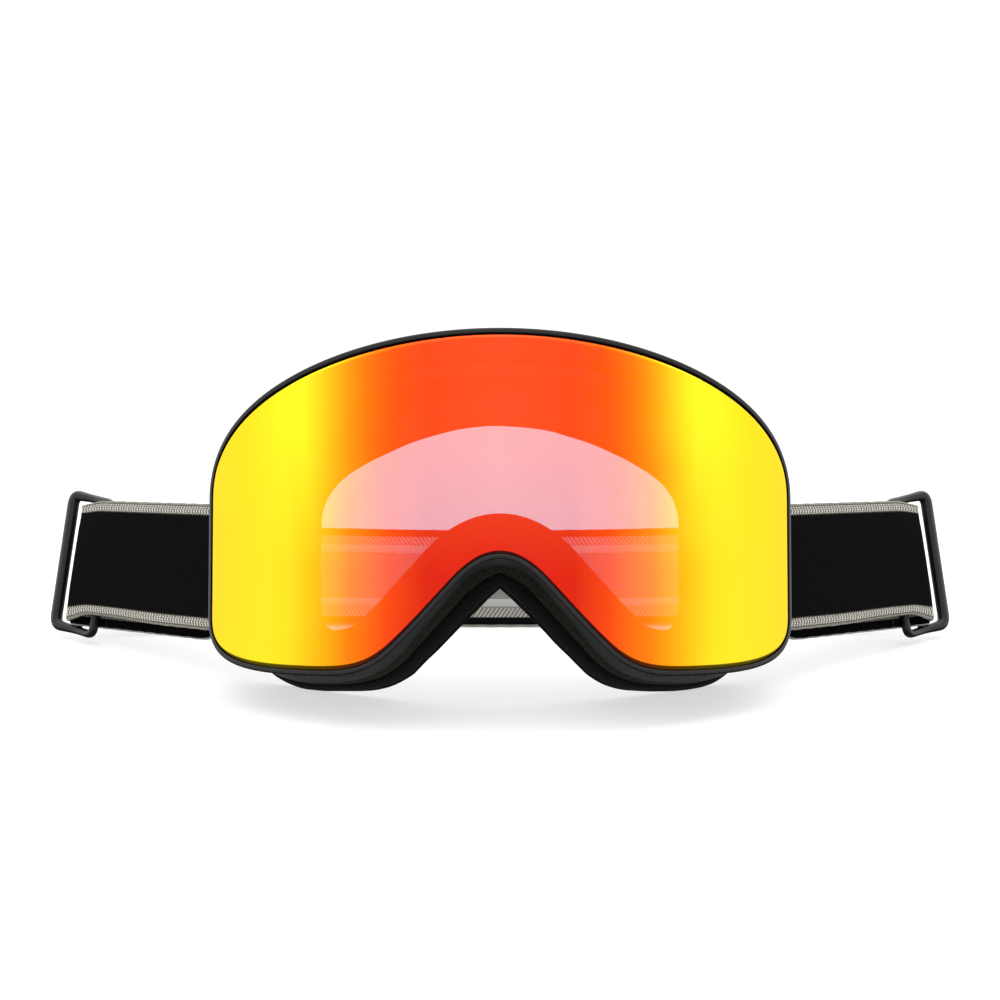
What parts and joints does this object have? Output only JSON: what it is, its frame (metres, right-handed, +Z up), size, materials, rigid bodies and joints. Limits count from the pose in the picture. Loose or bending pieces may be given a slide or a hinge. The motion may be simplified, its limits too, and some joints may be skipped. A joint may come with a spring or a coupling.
{
  "type": "ski goggles",
  "caption": "Ski goggles with a cylindrical mirrored double lens on a magnetic carrier, a vented face frame with layered foam and an elastic strap with sliding adjusters.",
  "frame": {"origin": "on the surface the goggles stand on, below the middle of the whole object's length and depth", "axes": "+X to the wearer's left (the right of the picture), along the strap loop's long way; +Y from the lens towards the back of the strap; +Z up"},
  "size_m": [0.3162, 0.1718, 0.1153],
  "materials": {
    "lens_mirror": "red-orange mirror coating that shifts to gold at the sides",
    "lens_clear": "clear anti-fog sheet",
    "gasket_foam": "closed-cell foam tape",
    "carrier_plastic": "satin moulded plastic",
    "magnet": "nickel plated",
    "ring_plastic": "semi-gloss moulded plastic",
    "frame_tpu": "soft satin moulded elastomer",
    "vent_foam": "open-cell foam",
    "face_foam": "soft open-cell foam",
    "fleece": "brushed fleece",
    "strap_webbing": "knitted elastic webbing with grey herringbone edges",
    "silicone": "satin printed silicone",
    "thread": "polyester thread",
    "adjuster_plastic": "satin acetal with a fine grain"
  },
  "bodies": {
    "goggles": {"front_ring": "ring_plastic", "frame_magnets": "magnet", "main_frame": "frame_tpu", "vent_foam_top": "vent_foam", "vent_foam_bottom": "vent_foam", "foam_base": "face_foam", "foam_comfort": "face_foam", "fleece_lining": "fleece", "ear_left": "frame_tpu", "ear_right": "frame_tpu", "strap_back": "strap_webbing", "strap_side_left": "strap_webbing", "strap_side_right": "strap_webbing", "grip_stripes": "silicone", "strap_return_left": "strap_webbing", "strap_return_right": "strap_webbing"},
    "lens_unit": {"outer_lens": "lens_mirror", "inner_lens": "lens_clear", "lens_gasket": "gasket_foam", "lens_carrier": "carrier_plastic", "carrier_magnets": "magnet"},
    "adjuster_l": {"adjuster_left": "adjuster_plastic", "sewn_end_left": "strap_webbing", "bartack_left": "thread"},
    "adjuster_r": {"adjuster_right": "adjuster_plastic", "sewn_end_right": "strap_webbing", "bartack_right": "thread"}
  },
  "joints": [
    {"name": "lens_release", "type": "slide", "parent": "goggles", "child": "lens_unit", "axis": [0, -0.9781, 0.2079], "range_m": [0, 0.04]},
    {"name": "adjuster_left_slide", "type": "slide", "parent": "goggles", "child": "adjuster_l", "axis": [0.6791, -0.7282, 0.0924], "range_m": [0, 0.045], "deforming": ["strap_side_left", "strap_return_left"]},
    {"name": "adjuster_right_slide", "type": "slide", "parent": "goggles", "child": "adjuster_r", "axis": [-0.6791, -0.7282, 0.0924], "range_m": [0, 0.045], "deforming": ["strap_side_right", "strap_return_right"]}
  ]
}
